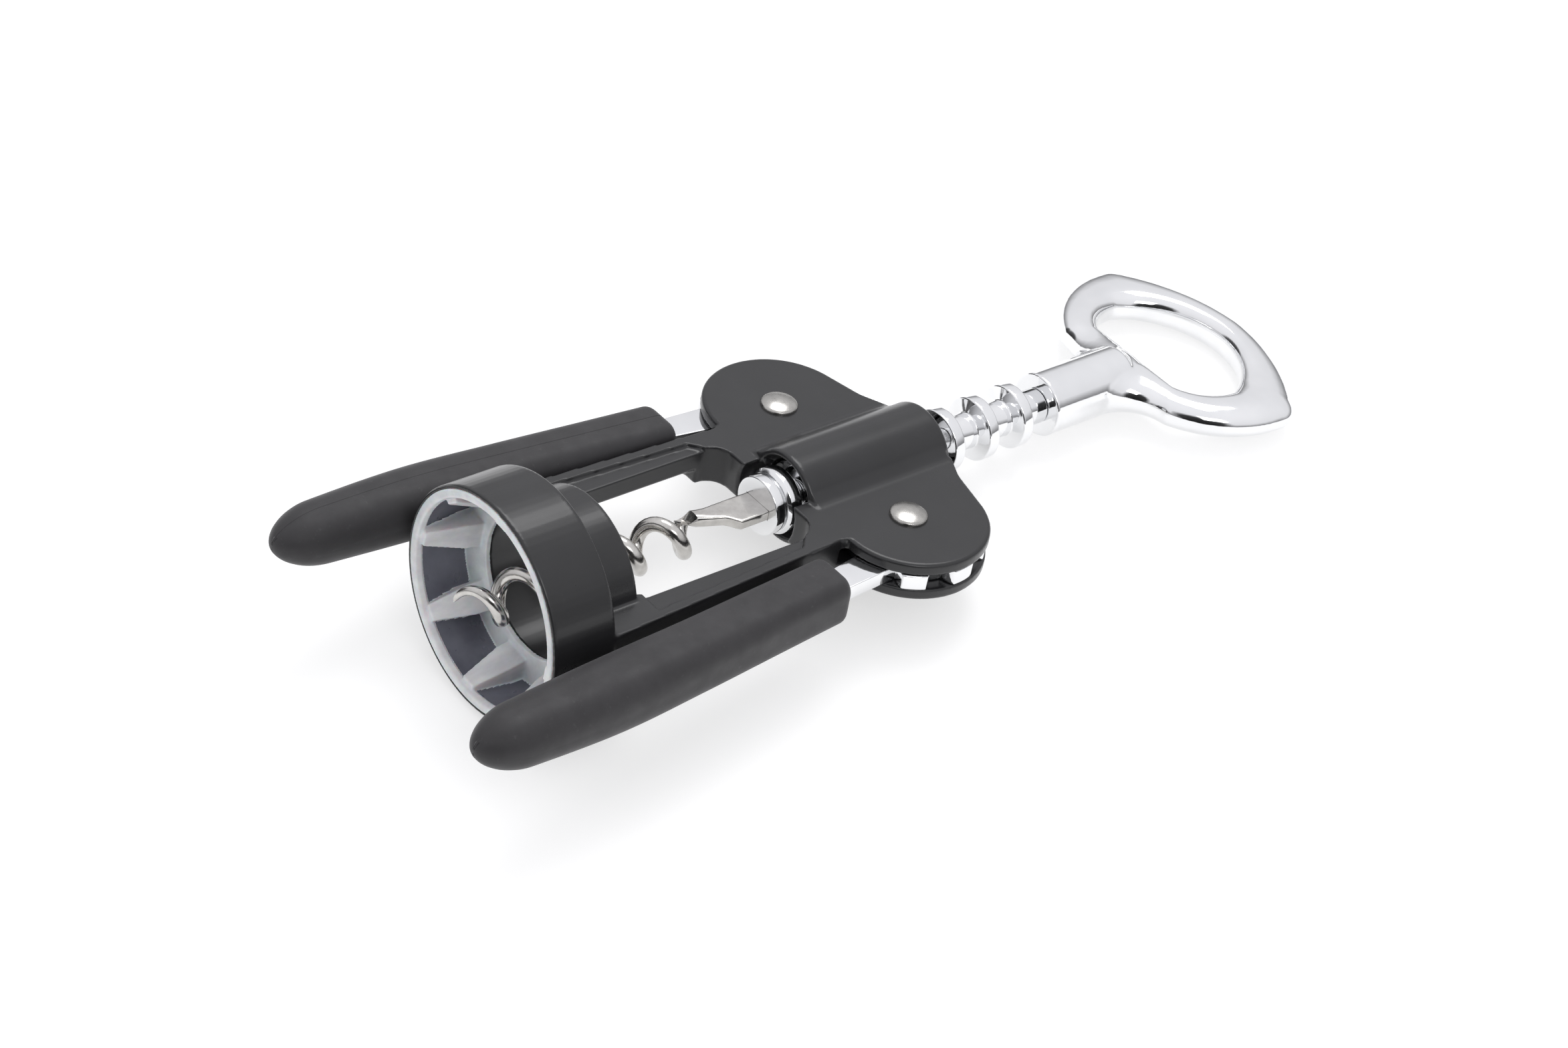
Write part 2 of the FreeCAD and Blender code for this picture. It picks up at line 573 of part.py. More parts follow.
def main():
    parts = make_parts()
    tilt = resting_tilt_deg(parts)
    box = FreeCAD.BoundBox()
    for shape in parts.values():
        shape.rotate(Vec(0, 0, 0), Vec(1, 0, 0), -tilt)
        box.add(shape.optimalBoundingBox())
    to_floor = Vec(-box.Center.x, -box.Center.y, -box.ZMin)
    print("tilt", round(tilt, 4), "shift", [round(c, 4) for c in to_floor])
    os.makedirs("parts", exist_ok=True)
    for node, shape in parts.items():
        shape.translate(to_floor)
        solids = shape.Solids
        print(node, "valid", shape.isValid(), "solids", len(solids), "cm3", round(shape.Volume / 1000, 2))
        shape.exportStep("parts/" + node + ".step")


main()
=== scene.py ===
import json
import math

import bmesh
import bpy
import numpy as np
from mathutils import Matrix, Vector


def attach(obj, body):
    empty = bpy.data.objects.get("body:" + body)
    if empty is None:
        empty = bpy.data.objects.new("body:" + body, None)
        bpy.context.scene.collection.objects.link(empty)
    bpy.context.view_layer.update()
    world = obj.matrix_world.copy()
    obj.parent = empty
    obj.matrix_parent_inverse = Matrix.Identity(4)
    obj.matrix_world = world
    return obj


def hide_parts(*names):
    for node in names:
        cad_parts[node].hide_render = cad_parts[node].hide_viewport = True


# Lever corkscrew.  Shapes are worked out in the tool's own frame, in millimetres: X across the
# wings, Y along the tool from the bell's mouth to the opener, Z out of the upper wing plates.
# to_row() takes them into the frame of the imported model, in metres.

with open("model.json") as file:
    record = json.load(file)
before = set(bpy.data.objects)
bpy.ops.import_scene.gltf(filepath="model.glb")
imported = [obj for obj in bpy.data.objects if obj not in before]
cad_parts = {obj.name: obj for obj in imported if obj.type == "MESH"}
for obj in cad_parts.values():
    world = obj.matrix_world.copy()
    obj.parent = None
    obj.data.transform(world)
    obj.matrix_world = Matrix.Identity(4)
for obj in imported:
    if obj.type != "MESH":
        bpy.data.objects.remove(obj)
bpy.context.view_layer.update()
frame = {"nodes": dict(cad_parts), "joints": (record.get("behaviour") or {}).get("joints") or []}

# ---- the tool's own frame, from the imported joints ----
PIVOT_Y = 79.5
joints = {joint["name"]: joint for joint in frame["joints"]}
ALONG = np.array(joints["rack_slide"]["axis"])
UP = np.array(joints["right_lever_pivot"]["axis"])
ACROSS = np.cross(ALONG, UP)
AXES = np.column_stack([ACROSS, ALONG, UP])
MM = 0.001
right_pivot = np.array(joints["right_lever_pivot"]["pos_m"])
left_pivot = np.array(joints["left_lever_pivot"]["pos_m"])
ORIGIN = (right_pivot + left_pivot) / 2 - ALONG * PIVOT_Y * MM
PIVOT_X = np.linalg.norm(right_pivot - left_pivot) / 2 / MM

# ---- skins: grid cell in millimetres and number of smoothing passes ----
CASTING_SKIN = (0.3, 10)
LINER_SKIN = (0.2, 4)
OPENER_SKIN = (0.25, 20)

# ---- driving dimensions, in millimetres ----
BELL_BORE_R = 20.8
LINER_GAP = 0.06          # how far inside the bell the liner's skin stays
LINER_WALL_R = 19.4
LINER_RIM_LENGTH = 1.75
RING_R = 6.18
RING_RIM_T = 2.3
RING_FLANK = 0.62        # how far a ring's side slopes along Y
RING_EASE = 0.32
RING_CORE_R = 3.4
RING_COUNT = 7
FIRST_RING_Y = 69.56
RACK_PITCH = 8.5
RACK_START_Y = 66.4
ROD_R = 2.2
ROD_GAP = 0.05
BOSS_START_Y = 127.9
BOSS_END_Y = 148.0
OPENER_HALF_T = 3.4
OPENER_ROOT_T = 1.5      # how much thicker each way the opener is where it meets the boss
OPENER_ROOT_SPREAD = 0.55  # how far round the eye that goes, in radians
BAND_CREST = 0.36        # where the band is thickest, as a share of its width from the eye
BAND_POWER = 2.4
OPENER_CENTRE_Y = 162.0
# right half of the opener's outline, from the boss round to the far end, as (x, y)
OPENER_ROOT = (5.9, 139.5)
OPENER_FILLET_MIDDLE = (8.3, 144.9)
SIDE_ARC_CENTRE = (5.1, 168.0)
SIDE_ARC_R = 22.1
SIDE_ARC_DEGREES = 64
OPENER_SHOULDER = (26.95, 170.2)
OPENER_CORNER = (25.3, 172.2)
OPENER_FAR_SIDE = (14.4, 179.0)
OPENER_END = (0.0, 182.3)
# right half of the eye, from the lip round to the far end
LIP_HALF_W = 9.8
EYE_CORNER = (14.4, 157.0)
EYE_SIDE = (16.4, 163.5)
EYE_END = (0.0, 175.2)
LIP_Y = 153.5
LIP_HALF_T = 1.3
LIP_ROOT_Y = 147.5
LIP_ROOT_HALF_W = 9.0
SOCKET_END_Y = 66.2
SOCKET_EDGE = 0.12       # widths of the bevels on the socket's and the levers' edges
LEVER_EDGE = 0.22
BARREL_START_Y = 65.8
BARREL_END_Y = 98.5
BARREL_FLANK = [(6.6, 5.9), (7.9, 4.9), (8.8, 4.3), (10.0, 3.9), (8.0, 3.3), (5.6, 3.3)]
HALF_T = 3.9
RIVET_HEAD_R = 3.5
RIVET_HEAD_T = 1.3
RIVET_DOME_RISE = 0.8
RIVET_DOME_EDGE_R = 3.25
RIVET_RIM_T = 0.36
WORM_RADIUS = 3.3
WIRE_R = 1.36
WORM_PITCH = 9.8
WORM_TOP_Y = 46.1
WORM_TIP_Y = -3.0
FLAT_HALF_W = 3.3
FLAT_HALF_T = 1.05
FLAT_END_Y = 54.6
WORM_TAPER_TURNS = 0.5
WORM_STEPS = 26          # sections per turn
# y, left edge, right edge, half thickness and squareness of the worm's neck, socket end first
WORM_NECK = [(54.3, -3.3, 3.3, 1.05, 9), (53.7, -3.3, 2.7, 1.05, 9), (53.0, -3.3, 1.7, 1.05, 8),
             (52.3, -3.3, 0.9, 1.05, 8), (51.3, -3.3, 0.45, 1.08, 6), (50.2, -3.4, 0.0, 1.12, 5),
             (49.0, -3.7, -0.6, 1.2, 4), (47.9, -4.15, -1.2, 1.3, 3)]
WORM_NECK_DROP = 0.5     # how far the neck dips before it turns into the helix
WORM_NECK_TURNS = 0.04   # the helix's first part, which the neck stands for
# middle x, y, half width and half thickness along a grip, wing end first
GRIP_STATIONS = [(25.1, 58.0, 5.1, 4.8), (26.5, 42.0, 5.4, 5.1), (28.1, 24.0, 5.8, 5.4),
                 (29.4, 6.0, 6.2, 5.7), (30.0, -12.0, 5.8, 5.3), (30.1, -22.2, 5.2, 4.8)]
GRIP_EDGE_R = 2.0
GRIP_TIP_LENGTH = 9.0
PARTING_DEPTH = 0.11     # depth of the mould's parting line


def to_row(points):
    """Points of the tool's own frame, in millimetres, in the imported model's frame, in metres."""
    return np.asarray(points, float) @ AXES.T * MM + ORIGIN


def to_own(points):
    """The reverse of to_row()."""
    return (np.asarray(points, float) - ORIGIN) @ AXES / MM


# ---------------------------------------------------------------- shapes

def arc(start, middle, end, steps=24):
    """Points along the arc through three points, without its end."""
    a, b, c = (complex(*p) for p in (start, middle, end))
    w = (c - a) / (b - a)
    centre = (b - a) * (w - abs(w) ** 2) / (2j * w.imag) + a
    turn_b = np.angle((b - centre) / (a - centre)) % (2 * math.pi)
    turn_c = np.angle((c - centre) / (a - centre)) % (2 * math.pi)
    if turn_b > turn_c:
        turn_c -= 2 * math.pi
    turned = [centre + (a - centre) * np.exp(1j * turn_c * i / steps) for i in range(steps)]
    return [(p.real, p.imag) for p in turned]


def eased(profile, radius, steps=4):
    """A closed profile of (y, r) points whose corners are rounded by quadratic bends."""
    result = []
    count = len(profile)
    for i, corner in enumerate(profile):
        corner = np.array(corner, float)
        if corner[1] < 0.01:
            result.append(tuple(corner))
            continue
        before = np.array(profile[i - 1], float) - corner
        after = np.array(profile[(i + 1) % count], float) - corner
        reach_in = min(radius, np.linalg.norm(before) * 0.45)
        reach_out = min(radius, np.linalg.norm(after) * 0.45)
        start = corner + before / np.linalg.norm(before) * reach_in
        end = corner + after / np.linalg.norm(after) * reach_out
        for k in range(steps + 1):
            t = k / steps
            result.append(tuple((1 - t) ** 2 * start + 2 * t * (1 - t) * corner + t * t * end))
    return result


def grid_faces(rows, columns, close_rows=False):
    """Quads between rows of a closed loop each; the rows themselves close up if asked."""
    faces = []
    for i in range(rows if close_rows else rows - 1):
        for j in range(columns):
            here, there = i * columns, (i + 1) % rows * columns
            following = (j + 1) % columns
            faces.append((here + j, here + following, there + following, there + j))
    return faces


def lathe(profile, segments=96):
    """A closed surface of revolution about Y from a closed profile of (y, r) points."""
    angles = [2 * math.pi * i / segments for i in range(segments)]
    points = [(r * math.cos(a), y, r * math.sin(a)) for a in angles for y, r in profile]
    return points, grid_faces(segments, len(profile), close_rows=True)


def loft(sections):
    """A closed surface through loops of equally many points, capped at both ends."""
    columns = len(sections[0])
    points = [tuple(p) for section in sections for p in section]
    faces = grid_faces(len(sections), columns)
    faces.append(tuple(reversed(range(columns))))
    faces.append(tuple(range(len(points) - columns, len(points))))
    return points, faces


def mesh_from(name, shells):
    """One Blender mesh, in the tool's own frame, from (points, faces) shells."""
    points = []
    faces = []
    for shell_points, shell_faces in shells:
        first = len(points)
        points.extend(shell_points)
        faces.extend(tuple(first + i for i in face) for face in shell_faces)
    mesh = bpy.data.meshes.new(name)
    mesh.from_pydata([tuple(map(float, p)) for p in points], [], faces)
    bm = bmesh.new()
    bm.from_mesh(mesh)
    bmesh.ops.remove_doubles(bm, verts=bm.verts, dist=1e-4)
    bmesh.ops.recalc_face_normals(bm, faces=bm.faces)
    bm.to_mesh(mesh)
    bm.free()
    return mesh


def cad_mesh(node):
    """A copy of a CAD node's mesh in the tool's own frame."""
    mesh = frame["nodes"][node].data.copy()
    mesh.materials.clear()
    points = np.empty(len(mesh.vertices) * 3)
    mesh.vertices.foreach_get("co", points)
    mesh.vertices.foreach_set("co", to_own(points.reshape(-1, 3)).ravel())
    bm = bmesh.new()
    bm.from_mesh(mesh)
    bmesh.ops.remove_doubles(bm, verts=bm.verts, dist=1e-3)
    bm.to_mesh(mesh)
    bm.free()
    for name in [a.name for a in mesh.attributes if a.name.startswith("custom_normal")]:
        mesh.attributes.remove(mesh.attributes[name])
    return mesh


def shown(name, mesh):
    obj = bpy.data.objects.new(name, mesh)
    bpy.context.scene.collection.objects.link(obj)
    return obj


def with_modifiers(mesh, *modifiers):
    """The mesh after modifiers, each given as (type, {setting: value})."""
    obj = shown("working", mesh)
    for kind, settings in modifiers:
        modifier = obj.modifiers.new(kind, kind)
        for setting, value in settings.items():
            setattr(modifier, setting, value)
    bpy.context.view_layer.update()
    evaluated = obj.evaluated_get(bpy.context.evaluated_depsgraph_get())
    result = bpy.data.meshes.new_from_object(evaluated)
    bpy.data.objects.remove(obj)
    bpy.data.meshes.remove(mesh)
    return result


def relax(mesh, passes):
    """Rounds a dense mesh's edges without shrinking it: each pass smooths in, then back out."""
    count = len(mesh.vertices)
    points = np.empty(count * 3)
    mesh.vertices.foreach_get("co", points)
    points = points.reshape(-1, 3)
    ends = np.empty(len(mesh.edges) * 2, int)
    mesh.edges.foreach_get("vertices", ends)
    a, b = ends.reshape(-1, 2).T
    neighbours = (np.bincount(a, minlength=count) + np.bincount(b, minlength=count))[:, None]
    for _ in range(passes):
        for share in (0.5, -0.52):
            total = np.stack([np.bincount(a, points[b, k], count) + np.bincount(b, points[a, k], count)
                              for k in range(3)], 1)
            points = points + share * (total / neighbours - points)
    mesh.vertices.foreach_set("co", points.ravel())


def fused(mesh, cell, passes):
    """Overlapping closed shells as one skin on a grid of this cell, with softened edges."""
    skin = with_modifiers(mesh, ("REMESH", {"mode": "VOXEL", "voxel_size": cell}))
    relax(skin, passes)
    return skin


def piece(name, mesh, body, finish, nodes=()):
    """Places a finished mesh as a piece that rides on a body and stands for CAD nodes."""
    points = np.empty(len(mesh.vertices) * 3)
    mesh.vertices.foreach_get("co", points)
    mesh.vertices.foreach_set("co", to_row(points.reshape(-1, 3)).ravel())
    mesh.materials.clear()
    mesh.materials.append(finish)
    mesh.polygons.foreach_set("use_smooth", [True] * len(mesh.polygons))
    mesh.update()
    obj = shown(name, mesh)
    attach(obj, body)
    if nodes:
        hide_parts(*nodes)
    return obj


def crisp(mesh, degrees=40):
    """Keeps edges sharper than this angle sharp in smooth shading."""
    bm = bmesh.new()
    bm.from_mesh(mesh)
    for edge in bm.edges:
        edge.smooth = edge.is_manifold and edge.calc_face_angle(0) < math.radians(degrees)
    bm.to_mesh(mesh)
    bm.free()
    return mesh


# ---------------------------------------------------------------- materials

class Finish:
    """A material's node tree around one Principled shader, with places in metres."""

    def __init__(self, name, **settings):
        self.material = bpy.data.materials.new(name)
        self.material.use_nodes = True
        self.tree = self.material.node_tree
        self.shader = self.tree.nodes["Principled BSDF"]
        self.place = self.tree.nodes.new("ShaderNodeTexCoord").outputs["Object"]
        for socket, value in settings.items():
            self.shader.inputs[socket.replace("_", " ")].default_value = value

    def noise(self, scale, detail=3.0, roughness=0.5, stretch=None):
        node = self.tree.nodes.new("ShaderNodeTexNoise")
        node.inputs["Scale"].default_value = scale
        node.inputs["Detail"].default_value = detail
        node.inputs["Roughness"].default_value = roughness
        place = self.place
        if stretch:
            mapping = self.tree.nodes.new("ShaderNodeMapping")
            mapping.inputs["Scale"].default_value = stretch
            self.tree.links.new(place, mapping.inputs["Vector"])
            place = mapping.outputs["Vector"]
        self.tree.links.new(place, node.inputs["Vector"])
        return node.outputs["Fac"]

    def ramp(self, source, *stops):
        """Colours or greys at places between 0 and 1."""
        node = self.tree.nodes.new("ShaderNodeValToRGB")
        elements = node.color_ramp.elements
        while len(elements) < len(stops):
            elements.new(0.5)
        for element, (place, value) in zip(elements, stops):
            element.position = place
            element.color = (*value, 1) if isinstance(value, tuple) else (value, value, value, 1)
        self.tree.links.new(source, node.inputs["Fac"])
        return node.outputs["Color"]

    def blend(self, kind, factor, a, b):
        node = self.tree.nodes.new("ShaderNodeMix")
        node.data_type = "RGBA"
        node.blend_type = kind
        node.inputs["Factor"].default_value = factor
        self.tree.links.new(a, node.inputs["A"])
        self.tree.links.new(b, node.inputs["B"])
        return node.outputs["Result"]

    def put(self, socket, source):
        self.tree.links.new(source, self.shader.inputs[socket])

    def bump(self, *layers):
        """Bumps on top of each other, each (source, strength, depth in metres)."""
        normal = None
        for source, strength, depth in layers:
            node = self.tree.nodes.new("ShaderNodeBump")
            node.inputs["Strength"].default_value = strength
            node.inputs["Distance"].default_value = depth
            self.tree.links.new(source, node.inputs["Height"])
            if normal:
                self.tree.links.new(normal, node.inputs["Normal"])
            normal = node.outputs["Normal"]
        self.put("Normal", normal)


def black_enamel():
    f = Finish("black_enamel", IOR=1.47, Coat_Weight=0.12, Coat_Roughness=0.12)
    paint = f.ramp(f.noise(90, 4), (0.3, (0.0125, 0.0125, 0.0135)), (0.7, (0.0175, 0.0175, 0.0188)))
    specks = f.ramp(f.noise(700, 5, 0.7), (0.6, 0.0), (0.8, 0.02))
    f.put("Base Color", f.blend("ADD", 0.35, paint, specks))
    f.put("Roughness", f.ramp(f.noise(120, 5, 0.6), (0.3, 0.27), (0.7, 0.32)))
    f.bump((f.noise(2400, 2), 0.16, 0.00002), (f.noise(160, 2), 0.12, 0.0001))
    return f.material


def soft_grip():
    f = Finish("soft_grip", IOR=1.45, Sheen_Weight=0.12, Sheen_Roughness=0.5)
    mottle = f.ramp(f.noise(130, 6, 0.65), (0.3, (0.0175, 0.0165, 0.018)),
                    (0.72, (0.027, 0.0255, 0.028)))
    specks = f.ramp(f.noise(900, 3, 0.7), (0.62, 0.0), (0.78, 0.03))
    f.put("Base Color", f.blend("ADD", 0.6, mottle, specks))
    f.put("Roughness", f.ramp(f.noise(300, 4), (0.3, 0.52), (0.7, 0.64)))
    f.bump((f.noise(5200, 3, 0.7), 0.35, 0.00004), (f.noise(420, 3), 0.2, 0.00008))
    return f.material


def chrome_plate(name="chrome_plate", roughness=(0.05, 0.12), ripple=0.22):
    f = Finish(name, Metallic=1.0)
    f.put("Base Color", f.ramp(f.noise(120, 3), (0.3, (0.81, 0.815, 0.825)),
                               (0.7, (0.87, 0.873, 0.88))))
    f.put("Roughness", f.ramp(f.noise(240, 6, 0.7), (0.35, roughness[0]), (0.75, roughness[1])))
    f.bump((f.noise(190, 2), ripple, 0.0002), (f.noise(2600, 2), 0.05, 0.00002))
    return f.material


def worm_steel():
    f = Finish("worm_steel", Metallic=1.0)
    f.put("Base Color", f.ramp(f.noise(350, 5, 0.6), (0.3, (0.47, 0.455, 0.435)),
                               (0.7, (0.62, 0.605, 0.58))))
    f.put("Roughness", f.ramp(f.noise(500, 5, 0.7), (0.3, 0.13), (0.75, 0.27)))
    f.bump((f.noise(600, 4, 0.7, (1, 0.25, 1)), 0.25, 0.00006), (f.noise(3800, 3), 0.15, 0.00002))
    return f.material


def rivet_steel():
    f = Finish("rivet_steel", Metallic=1.0)
    f.put("Base Color", f.ramp(f.noise(500, 4), (0.3, (0.36, 0.35, 0.335)), (0.7, (0.46, 0.45, 0.43))))
    f.put("Roughness", f.ramp(f.noise(900, 4, 0.7), (0.3, 0.2), (0.75, 0.34)))
    f.bump((f.noise(3000, 3), 0.08, 0.00001), (f.noise(500, 2), 0.12, 0.00003))
    return f.material


def frosted_plastic():
    f = Finish("frosted_plastic", IOR=1.46, Transmission_Weight=0.15, Subsurface_Weight=0.4,
               Subsurface_Scale=0.002)
    streaks = f.noise(260, 5, 0.6, (1, 0.45, 1))
    f.put("Base Color", f.ramp(streaks, (0.34, (0.74, 0.75, 0.775)), (0.66, (0.97, 0.975, 0.98))))
    f.put("Roughness", f.ramp(f.noise(420, 4), (0.3, 0.3), (0.7, 0.42)))
    f.bump((f.noise(1500, 3), 0.12, 0.00003), (f.noise(220, 2), 0.2, 0.0001))
    return f.material


def plastic_over_black():
    """The same plastic where it is thin and the black bell shows through."""
    f = Finish("plastic_over_black", IOR=1.46)
    f.put("Base Color", f.ramp(f.noise(140, 4), (0.3, (0.1, 0.103, 0.13)), (0.7, (0.18, 0.185, 0.22))))
    f.put("Roughness", f.ramp(f.noise(420, 4), (0.3, 0.26), (0.7, 0.38)))
    f.bump((f.noise(1500, 3), 0.12, 0.00003), (f.noise(220, 2), 0.2, 0.0001))
    return f.material


ENAMEL = black_enamel()
GRIP = soft_grip()
CHROME = chrome_plate()
SATIN_CHROME = chrome_plate("satin_chrome", (0.14, 0.28), 0.12)
WORM_STEEL = worm_steel()
RIVET_STEEL = rivet_steel()
PLASTIC = frosted_plastic()
PLASTIC_OVER_BLACK = plastic_over_black()


# ---------------------------------------------------------------- pieces

def make_casting():
    """The black die casting, with soft edges and a fillet along each side of the barrel."""
    mesh = cad_mesh("frame_casting")
    shells = []
    for side in (1, -1):
        for top in (1, -1):
            shells.append(loft([[(side * x, y, top * z) for x, z in BARREL_FLANK]
                                for y in (BARREL_START_Y + 0.3, BARREL_END_Y - 1.2)]))
    bm = bmesh.new()
    bm.from_mesh(mesh)
    bm.from_mesh(mesh_from("flanks", shells))
    bm.to_mesh(mesh)
    bm.free()
    skin = fused(mesh, *CASTING_SKIN)
    piece("casting", skin, "frame", ENAMEL, ["frame_casting"])


def make_liner():
    """The translucent cup, a hair inside the bell so that the two skins don't coincide.

    Its wall is thin and the black bell shows through it, so the wall between the ribs has a
    darker finish than the ribs, the rim and the floor."""
    skin = fused(cad_mesh("bell_liner"), *LINER_SKIN)
    points = np.empty(len(skin.vertices) * 3)
    skin.vertices.foreach_get("co", points)
    points = points.reshape(-1, 3)
    radius = np.hypot(points[:, 0], points[:, 2])
    scale = np.minimum(1.0, (BELL_BORE_R - LINER_GAP) / np.maximum(radius, 1.0))
    points[:, 0] *= scale
    points[:, 2] *= scale
    skin.vertices.foreach_set("co", points.ravel())
    skin.update()
    inner_wall = []
    for polygon in skin.polygons:
        x, y, z = polygon.center
        reach = math.hypot(x, z)
        inward = -(polygon.normal.x * x + polygon.normal.z * z) / reach
        inner_wall.append(LINER_WALL_R - 0.25 < reach < LINER_WALL_R + 0.3
                          and y > LINER_RIM_LENGTH and inward > 0.8)
    liner = piece("liner", skin, "frame", PLASTIC, ["bell_liner"])
    liner.data.materials.append(PLASTIC_OVER_BLACK)
    liner.data.polygons.foreach_set("material_index", [int(thin) for thin in inner_wall])


def make_rivets():
    """Domed heads on both faces of the wings, one lathe per rivet."""
    dome_r = (RIVET_HEAD_R ** 2 + RIVET_DOME_RISE ** 2) / (2 * RIVET_DOME_RISE)
    top_z = HALF_T + RIVET_HEAD_T
    rise = [(top_z - dome_r + math.sqrt(dome_r ** 2 - r * r), r)
            for r in np.linspace(0, RIVET_DOME_EDGE_R, 12)]
    half = rise + [(HALF_T + RIVET_RIM_T, RIVET_HEAD_R), (HALF_T, RIVET_HEAD_R - 0.04)]
    profile = half + [(-y, r) for y, r in reversed(half)]
    for side, node in ((1, "rivet_right"), (-1, "rivet_left")):
        points, faces = lathe(profile, 64)
        placed = [(side * PIVOT_X + x, PIVOT_Y + z, y) for x, y, z in points]
        mesh = mesh_from(node, [(placed, faces)])
        piece(node + "_domed", mesh, "frame", RIVET_STEEL, [node])


def make_rack():
    """The sleeve of rings that the levers' teeth run in."""
    bore_r = ROD_R + ROD_GAP
    profile = [(RACK_START_Y, bore_r), (RACK_START_Y, RING_CORE_R)]
    for i in range(RING_COUNT):
        middle = FIRST_RING_Y + i * RACK_PITCH
        half = RING_RIM_T / 2
        profile += [(middle - half - RING_FLANK, RING_CORE_R), (middle - half, RING_R),
                    (middle + half, RING_R), (middle + half + RING_FLANK, RING_CORE_R)]
    end_y = BOSS_START_Y - 0.1
    profile += [(end_y, RING_CORE_R), (end_y, bore_r)]
    mesh = mesh_from("rack", [lathe(eased(profile, RING_EASE))])
    piece("rack_rings", mesh, "rack", CHROME, ["rack_sleeve"])


def polar(points):
    """Angle and distance from the opener's middle of each point, in order of angle."""
    spots = np.array([complex(x, y - OPENER_CENTRE_Y) for x, y in points])
    order = np.argsort(np.angle(spots))
    return np.angle(spots)[order], np.abs(spots)[order]


def opener_outlines():
    """Outer and inner outline of the opener, right half, from the boss end to the far end."""
    centre_x, centre_y = SIDE_ARC_CENTRE
    root_x, root_y = OPENER_ROOT
    eye_x, eye_y = EYE_SIDE

    def on_side(degrees):
        angle = math.radians(degrees)
        return centre_x + SIDE_ARC_R * math.cos(angle), centre_y + SIDE_ARC_R * math.sin(angle)

    outer = [(root_x * i / 6, root_y) for i in range(6)]
    outer += arc(OPENER_ROOT, OPENER_FILLET_MIDDLE, on_side(-SIDE_ARC_DEGREES))
    outer += [on_side(-SIDE_ARC_DEGREES * (1 - i / 40)) for i in range(40)]
    outer += arc(on_side(0), OPENER_SHOULDER, OPENER_CORNER)
    outer += arc(OPENER_CORNER, OPENER_FAR_SIDE, OPENER_END) + [OPENER_END]
    inner = [(LIP_HALF_W * i / 12, LIP_Y) for i in range(12)]
    inner += arc((LIP_HALF_W, LIP_Y), EYE_CORNER, EYE_SIDE)
    inner += arc(EYE_SIDE, EYE_END, (-eye_x, eye_y), 60)[:31]
    return outer, inner


def opener_band():
    """The crowned band around the eye, as a closed tube of cross-sections."""
    outer, inner = opener_outlines()
    outer_angle, outer_r = polar(outer)
    inner_angle, inner_r = polar(inner)
    profile = []
    for k in range(9):
        angle = math.pi / 2 * k / 8
        profile.append((BAND_CREST * (1 - abs(math.cos(angle)) ** (2 / BAND_POWER)),
                        math.sin(angle) ** (2 / BAND_POWER)))
    for k in range(1, 13):
        angle = math.pi / 2 * k / 12
        profile.append((BAND_CREST + (1 - BAND_CREST) * math.sin(angle) ** 0.9,
                        abs(math.cos(angle)) ** 0.9))
    lower = [(s, -z) for s, z in reversed(profile[1:-1])]
    ring = profile + lower
    sections = []
    steps = 240
    for i in range(steps):
        angle = -math.pi / 2 + 2 * math.pi * i / steps
        right = angle if angle <= math.pi / 2 else math.pi - angle
        far = np.interp(right, outer_angle, outer_r)
        near = np.interp(right, inner_angle, inner_r)
        from_root = (right + math.pi / 2) / OPENER_ROOT_SPREAD
        half_t = OPENER_HALF_T + OPENER_ROOT_T * math.exp(-from_root ** 2)
        section = []
        for s, z in ring:
            r = near + (far - near) * s
            section.append((r * math.cos(angle), OPENER_CENTRE_Y + r * math.sin(angle),
                            z * half_t))
        sections.append(section)
    points = [p for section in sections for p in section]
    return points, grid_faces(steps, len(ring), close_rows=True)


def make_opener():
    """Chromed handle: opener, boss and the rod through the rack."""
    boss = lathe(eased([(BOSS_START_Y, 0), (BOSS_START_Y, RING_R), (BOSS_END_Y, RING_R),
                        (BOSS_END_Y + 4.5, 3.0), (BOSS_END_Y + 4.5, 0)], 0.3))
    lip_ends = ((LIP_ROOT_Y, LIP_ROOT_HALF_W), (LIP_Y - 0.1, LIP_HALF_W))
    lip = loft([[(-half, y, -LIP_HALF_T), (half, y, -LIP_HALF_T), (half, y, LIP_HALF_T),
                 (-half, y, LIP_HALF_T)] for y, half in lip_ends])
    skin = fused(mesh_from("opener", [boss, opener_band(), lip]), *OPENER_SKIN)
    piece("opener", skin, "spindle", CHROME, ["opener_handle"])
    rod = lathe(eased([(SOCKET_END_Y, 0), (SOCKET_END_Y, ROD_R), (BOSS_START_Y + 1, ROD_R),
                       (BOSS_START_Y + 1, 0)], 0.2), 48)
    piece("spindle_rod", mesh_from("rod", [rod]), "spindle", CHROME)


def bevelled(node, width, degrees=28):
    """A CAD mesh with its flat faces merged and its edges rounded."""
    mesh = cad_mesh(node)
    bm = bmesh.new()
    bm.from_mesh(mesh)
    bmesh.ops.dissolve_limit(bm, angle_limit=math.radians(0.6), verts=bm.verts, edges=bm.edges)
    bm.to_mesh(mesh)
    bm.free()
    settings = {"width": width, "segments": 3, "limit_method": "ANGLE",
                "angle_limit": math.radians(degrees)}
    return crisp(with_modifiers(mesh, ("BEVEL", settings), ("TRIANGULATE", {})), 30)


def make_socket():
    """The socket, whose end face, towards the worm, is satin."""
    mesh = bevelled("worm_socket", SOCKET_EDGE)
    obj = piece("socket", mesh, "spindle", CHROME, ["worm_socket"])
    obj.data.materials.append(SATIN_CHROME)
    facing = Vector(-ALONG)
    for polygon in obj.data.polygons:
        if polygon.normal.dot(facing) > 0.9:
            polygon.material_index = 1


def make_levers():
    for side in ("right", "left"):
        mesh = bevelled("lever_" + side, LEVER_EDGE)
        piece("lever_plate_" + side, mesh, side + "_lever", CHROME, ["lever_" + side])


